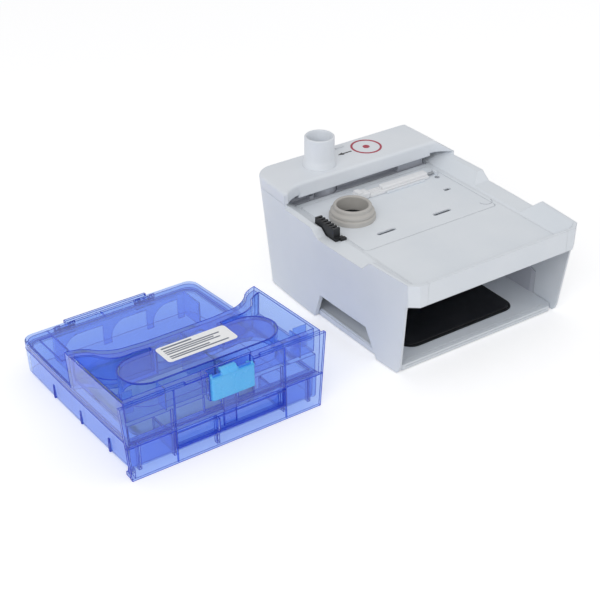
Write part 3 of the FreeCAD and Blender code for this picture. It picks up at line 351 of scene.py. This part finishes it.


# springs: real coils in place of the CAD springs
springs = {"bar": {"at": (44.9, 132.7, 67.9), "radius": 1.0, "wire": 0.18,
                   "length": 6.8, "turns": 8, "keep": 0.41},
           "heater": {"spots": [(-36, 45), (30.5, 45), (-36, 111), (30.5, 111)], "z": 3.0, "radius": 3.6,
                      "wire": 0.22, "length": 1.3, "turns": 2, "keep": 0.53}}


def buildSprings():
    look = springs["bar"]
    mesh = bmesh.new()
    addCoil(mesh, look["at"], look["radius"], look["wire"], look["length"], look["turns"], (1, 0, 0))
    piece = finishPiece("barCoil", mesh, "steel", "base", baseFrame)
    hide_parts("bar_spring")
    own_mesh(piece)
    look = springs["heater"]
    mesh = bmesh.new()
    for x, y in look["spots"]:
        addCoil(mesh, (x, y, look["z"]), look["radius"], look["wire"], look["length"], look["turns"],
                (0, 0, 1))
    piece = finishPiece("heaterCoils", mesh, "steel", "base", baseFrame)
    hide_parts("heater_springs")
    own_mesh(piece)


# front of the tank: moulded lines on the clear panel, drawn in the darker tank_edge blue as painted edge
# shade
tankFrontLines = {"face": 1.0, "depth": 0.7, "width": 1.1,
                  "columns": [(-37.5, 2.6, 25.2), (43.0, 2.6, 25.2)],
                  "sill": (-37.5, 43.0, 23.6), "foot": (-37.5, 43.0, 12.2),
                  "upper": [(-37.5, 26.0, 55.0), (43.0, 26.0, 55.0)]}


def buildTankFrontLines():
    look = tankFrontLines
    mesh = bmesh.new()
    back = look["face"] + look["depth"]
    half = look["width"] / 2
    for x, z0, z1 in look["columns"]:
        addBlock(mesh, (x - half, look["face"] - 0.5, z0), (x + half, back, z1), 0.3, 3)
    for x0, x1, z in (look["sill"], look["foot"]):
        addBlock(mesh, (x0, look["face"] - 0.4, z - half), (x1, back, z + half), 0.3, 3)
    piece = finishPiece("tankFrontLines", mesh, "tank_edge", "tank", tankFrame)
    mesh = bmesh.new()
    for x, z0, z1 in look["upper"]:
        addBlock(mesh, (x - half, look["face"] - 0.5, z0), (x + half, back, z1), 0.3, 3)
    piece = finishPiece("lidFrontLines", mesh, "tank_edge", "lid", tankFrame)


# lid: edge beads round the channels and the raised middle, in the darker tank_edge blue as painted edge
# shade
lidBeads = {"z": 56.9, "bar": 0.4, "width": 0.9, "height": 0.5, "steps": 40, "share": 0.98,
            "ends": [(-42.0, 29.5, 16.1), (37.5, 29.5, 16.1)]}


def buildLidBeads():
    mesh = bmesh.new()
    for x, y, radius in lidBeads["ends"]:
        side = 1 if x > 0 else -1
        start = -math.pi / 2 if side > 0 else math.pi / 2
        addRing(mesh, (x, y, lidBeads["z"]), radius, lidBeads["width"], lidBeads["height"],
                lidBeads["steps"], math.pi * lidBeads["share"], start)
    left, right = lidBeads["ends"]
    y = left[1] - left[2]
    addBar(mesh, (left[0], y, lidBeads["z"]), (right[0], y, lidBeads["z"]), lidBeads["bar"])
    piece = finishPiece("lidBeads", mesh, "tank_edge", "lid", tankFrame)


# latch: two dark blue blocks beside the middle tab, painted shade where the finger slots are
latchSlotShade = {"spans": [(-10.4, -4.6), (8.6, 17.4)], "y": (0.2, 1.6), "z": (53.0, 54.9)}


def buildLatchSlotShade():
    mesh = bmesh.new()
    for x0, x1 in latchSlotShade["spans"]:
        y, z = latchSlotShade["y"], latchSlotShade["z"]
        addBlock(mesh, (x0, y[0], z[0]), (x1, y[1], z[1]), 0.35, 3)
    piece = finishPiece("latchSlotShade", mesh, "tank_edge", "latch", tankFrame)


# small marks on the deck
deckMarks = {"z": 66.52, "arc": (54.9, 77.9, 5.0), "bosses": [(-65.0, 126.5, 1.8), (51.0, 127.4, 1.7)]}


def buildDeckMarks():
    mesh = bmesh.new()
    x, y, radius = deckMarks["arc"]
    addRing(mesh, (x, y, deckMarks["z"]), radius, 0.45, 0.2, 32, math.pi, math.pi)
    piece = finishPiece("deckArc", mesh, "inner_casing", "base", baseFrame)
    mesh = bmesh.new()
    for x, y, radius in deckMarks["bosses"]:
        addRing(mesh, (x, y, deckMarks["z"]), radius, 0.5, 0.2, 32)
    piece = finishPiece("deckRings", mesh, "inner_casing", "base", baseFrame)


# pan: two thin steps along the front lip
panLines = {"z": 5.0, "front": 16.9, "x": 66.0, "steps": [0.9, 3.4],
            "width": 0.5, "sunk": 0.3, "proud": 0.18}


def buildPanLines():
    mesh = bmesh.new()
    for step in panLines["steps"]:
        y = panLines["front"] + step
        low = (-panLines["x"], y, panLines["z"] - panLines["sunk"])
        high = (panLines["x"], y + panLines["width"], panLines["z"] + panLines["proud"])
        addBlock(mesh, low, high, 0.12, 2)
    piece = finishPiece("panLines", mesh, "casing", "base", baseFrame)


# lid: thin walls of the cells between the raised middle and the sides
lidCells = {"z0": 41.2, "z1": 56.6, "skin": 1.0,
            "walls": [(-42.6, 3.6, -41.6, 13.6), (43.0, 3.6, 44.0, 13.6), (-68.6, 14.4, -58.4, 15.4),
                      (59.0, 14.6, 69.0, 15.6), (56.0, 4.0, 57.0, 15.0)],
            "box": (57.6, 7.2, 68.0, 12.8, 50.5), "ledge": (-68.0, 4.6, -43.2, 7.0, 53.0)}


def buildLidCells():
    look = lidCells
    mesh = bmesh.new()
    for x0, y0, x1, y1 in look["walls"]:
        addBlock(mesh, (x0, y0, look["z0"]), (x1, y1, look["z1"]), 0.25, 2)
    piece = finishPiece("lidCells", mesh, "tank_blue", "lid", tankFrame)
    mesh = bmesh.new()
    for x0, y0, x1, y1, top in (look["box"], look["ledge"]):
        addBlock(mesh, (x0, y0, top - look["skin"]), (x1, y1, top), 0.3, 2)
    piece = finishPiece("lidLedges", mesh, "tank_blue", "lid", tankFrame)


# lid: ribs on the low back section, in the darker tank_edge blue as painted edge shade
lidRibs = {"top": 31.5, "depth": 1.2, "width": 0.9,
           "bars": [(-51.5, 106.0, 146.0), (-61.0, 106.0, 138.0), (-10.5, 139.5, 146.5),
                    (22.5, 139.5, 146.5)],
           "across": [(-61.0, -51.5, 106.0), (-61.0, -51.5, 138.0)]}


def buildLidRibs():
    look = lidRibs
    mesh = bmesh.new()
    half = look["width"] / 2
    low = look["top"] - look["depth"]
    for x, y0, y1 in look["bars"]:
        addBlock(mesh, (x - half, y0, low), (x + half, y1, look["top"]), 0.2, 2)
    for x0, x1, y in look["across"]:
        addBlock(mesh, (x0, y - half, low), (x1, y + half, look["top"]), 0.2, 2)
    piece = finishPiece("lidRibs", mesh, "tank_edge", "lid", tankFrame)


# lock bar: low slide, raised rail and a notched knob, in place of the plain CAD bar
lockBarLook = {"slide": (-9.8, 128.6, 66.65, 44.5, 136.8, 68.9),
               "rail": (3.0, 130.2, 68.4, 44.4, 136.4, 70.9),
               "ribs": [129.4, 131.8, 134.2], "knob": (-21.0, 128.8, 66.65, -9.8, 136.6, 73.0),
               "notch": 3.4, "guides": [(127.0, 128.2), (137.2, 138.4)]}


def buildLockBar():
    look = lockBarLook
    mesh = bmesh.new()
    addBlock(mesh, look["slide"][:3], look["slide"][3:], 0.4, 3)
    addBlock(mesh, look["rail"][:3], look["rail"][3:], 0.9, 4)
    for y in look["ribs"]:
        addBlock(mesh, (-9.0, y, 68.5), (2.6, y + 0.9, 69.5), 0.25, 2)
    bar = finishPiece("lockBarSlide", mesh, "off_white", "lock_bar", baseFrame)
    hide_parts("lock_bar")
    mesh = bmesh.new()
    x0, y0, z0, x1, y1, z1 = look["knob"]
    addBlock(mesh, (x0, y0, z0), (x1, y1, z1 - look["notch"] * 0.5), 0.9, 4)
    addBlock(mesh, (x0 + 0.6, y0 + 0.5, z1 - 3.0), (x0 + 5.2, y1 - 0.5, z1), 0.8, 4)
    knob = finishPiece("lockKnobNotched", mesh, "off_white", "lock_bar", baseFrame)
    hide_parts("lock_knob")
    mesh = bmesh.new()
    for y0, y1 in look["guides"]:
        addBlock(mesh, (4.0, y0, 66.45), (39.6, y1, 68.3), 0.35, 3)
    guides = finishPiece("lockBarGuides", mesh, "casing", "base", baseFrame)
    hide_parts("bar_guides")


# bridge cap: a merged copy of the CAD cap whose right end and rear corner are softly rounded
capRounding = {"turn": 12.0, "small": 0.5, "large": 5.0}


def mergedCopy(node, flat):
    mesh = bmesh.new()
    mesh.from_mesh(nodes[node].data)
    bmesh.ops.remove_doubles(mesh, verts=mesh.verts, dist=0.00001)
    bmesh.ops.dissolve_limit(mesh, angle_limit=math.radians(flat), verts=mesh.verts, edges=mesh.edges)
    return mesh


def buildCap():
    mesh = mergedCopy("bridge_cap", 1.0)
    slopeX = (baseX + 64.0) * 0.001
    chosen = []
    for edge in mesh.edges:
        a, b = edge.verts[0].co, edge.verts[1].co
        along = abs(a.y - b.y) > 0.005 and abs(a.x - b.x) < 0.002
        if along and min(a.z, b.z) > 0.0838 and abs(a.x - slopeX) < 0.004 and abs(b.x - slopeX) < 0.004:
            chosen.append(edge)
    print("cap slope edges", len(chosen))
    if chosen:
        bmesh.ops.bevel(mesh, geom=chosen, offset=capRounding["large"] * 0.001, offset_type="OFFSET",
                        affect="EDGES", segments=6, profile=0.5, material=-1, clamp_overlap=True)
    piece = finishPiece("bridgeCapRounded", mesh, "cap", "base", Matrix.Identity(4))
    soften = piece.modifiers.new("soften", "BEVEL")
    soften.width = capRounding["small"] * 0.001
    soften.segments = 3
    soften.limit_method = "ANGLE"
    soften.angle_limit = math.radians(35)
    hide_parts("bridge_cap")


# clear mouldings: thin deep blue rods along every sharp edge, a painted edge shade where the wall is seen
# edge on
edgeShadeRods = {"radius": 0.22, "sharp": 38.0, "parts": [("tank_lid", "lid"), ("tank_tub", "tank")], "turns": 6}


def buildEdgeShadeRods(node, body):
    source = mergedCopy(node, 0.5)
    mesh = bmesh.new()
    sharp = math.radians(edgeShadeRods["sharp"])
    low, high = Vector(cadBox[0]), Vector(cadBox[1])
    for edge in source.edges:
        if len(edge.link_faces) == 2 and edge.calc_face_angle(0.0) > sharp and edge.calc_length() > 0.0001:
            addBar(mesh, edge.verts[0].co, edge.verts[1].co, edgeShadeRods["radius"] * 0.001, edgeShadeRods["turns"])
    source.free()
    for vert in mesh.verts:
        for axis in range(3):
            vert.co[axis] = min(max(vert.co[axis], low[axis]), high[axis])
    print("edge beads", node, len(mesh.verts))
    piece = finishPiece(node + "Edges", mesh, "deep_blue", body, Matrix.Identity(4))


for node, body in edgeShadeRods["parts"]:
    buildEdgeShadeRods(node, body)
buildTankFrontLines()
buildLidCells()
buildLidRibs()
buildLockBar()
buildSprings()
buildCap()
buildLidBeads()
buildLatchSlotShade()
buildDeckMarks()
buildPanLines()
print("moulded details built")


# floor, light and camera
stage = {"floorSize": 6.0, "floorColour": (0.90, 0.90, 0.91), "floorGlow": 0.34, "skyLight": 0.74,
         "keyPower": 13.0, "keySize": 1.3, "keyAt": (-1.25, -0.95, 1.25),
         "fillPower": 3.0, "fillSize": 1.6, "fillAt": (1.5, -0.6, 1.0)}


def seenRays(tree):
    rays = tree.nodes.new("ShaderNodeLightPath")
    first = tree.nodes.new("ShaderNodeMath")
    first.operation = "MAXIMUM"
    second = tree.nodes.new("ShaderNodeMath")
    second.operation = "MAXIMUM"
    tree.links.new(rays.outputs["Is Camera Ray"], first.inputs[0])
    tree.links.new(rays.outputs["Is Glossy Ray"], first.inputs[1])
    tree.links.new(first.outputs[0], second.inputs[0])
    tree.links.new(rays.outputs["Is Transmission Ray"], second.inputs[1])
    return second.outputs[0]


def buildFloor():
    mesh = bmesh.new()
    bmesh.ops.create_grid(mesh, x_segments=8, y_segments=8, size=stage["floorSize"] / 2)
    data = bpy.data.meshes.new("floor")
    mesh.to_mesh(data)
    mesh.free()
    floor = bpy.data.objects.new("floor", data)
    bpy.context.scene.collection.objects.link(floor)
    material = bpy.data.materials.new("floorPaper")
    material.use_nodes = True
    tree = material.node_tree
    tree.nodes.clear()
    output = tree.nodes.new("ShaderNodeOutputMaterial")
    matt = tree.nodes.new("ShaderNodeBsdfDiffuse")
    matt.inputs["Color"].default_value = (*stage["floorColour"], 1)
    glow = tree.nodes.new("ShaderNodeEmission")
    both = tree.nodes.new("ShaderNodeAddShader")
    tree.links.new(spread(tree, seenRays(tree), 0.0, 1.0, 0.0, stage["floorGlow"]), glow.inputs["Strength"])
    tree.links.new(matt.outputs["BSDF"], both.inputs[0])
    tree.links.new(glow.outputs["Emission"], both.inputs[1])
    tree.links.new(both.outputs["Shader"], output.inputs["Surface"])
    data.materials.append(material)


def buildWorld():
    world = bpy.data.worlds.new("studio")
    bpy.context.scene.world = world
    world.use_nodes = True
    tree = world.node_tree
    tree.nodes.clear()
    output = tree.nodes.new("ShaderNodeOutputWorld")
    sky = tree.nodes.new("ShaderNodeBackground")
    tree.links.new(spread(tree, seenRays(tree), 0.0, 1.0, stage["skyLight"], 1.0), sky.inputs["Strength"])
    tree.links.new(sky.outputs["Background"], output.inputs["Surface"])


def addLamp(name, power, size, spot):
    data = bpy.data.lights.new(name, "AREA")
    data.energy = power
    data.size = size
    lamp = bpy.data.objects.new(name, data)
    bpy.context.scene.collection.objects.link(lamp)
    aim = Vector((0.0, 0.0, 0.03)) - Vector(spot)
    lamp.matrix_world = Matrix.Translation(spot) @ aim.to_track_quat("-Z", "Y").to_matrix().to_4x4()


view = {"spot": (-0.49726, -0.71585, 0.56022), "backwards": (-0.48959, -0.70013, 0.51974),
        "lens": 89.0, "sensor": 36.0, "nearest": 0.01}


def buildCamera():
    data = bpy.data.cameras.new("camera")
    data.lens = view["lens"]
    data.sensor_width = view["sensor"]
    data.clip_start = view["nearest"]
    camera = bpy.data.objects.new("camera", data)
    bpy.context.scene.collection.objects.link(camera)
    ahead = -Vector(view["backwards"])
    turned = ahead.to_track_quat("-Z", "Y").to_matrix().to_4x4()
    camera.matrix_world = Matrix.Translation(view["spot"]) @ turned
    bpy.context.scene.camera = camera


buildFloor()
buildWorld()
addLamp("keyLamp", stage["keyPower"], stage["keySize"], stage["keyAt"])
addLamp("fillLamp", stage["fillPower"], stage["fillSize"], stage["fillAt"])
buildCamera()
bpy.context.scene.view_settings.view_transform = "Standard"
print("stage set")
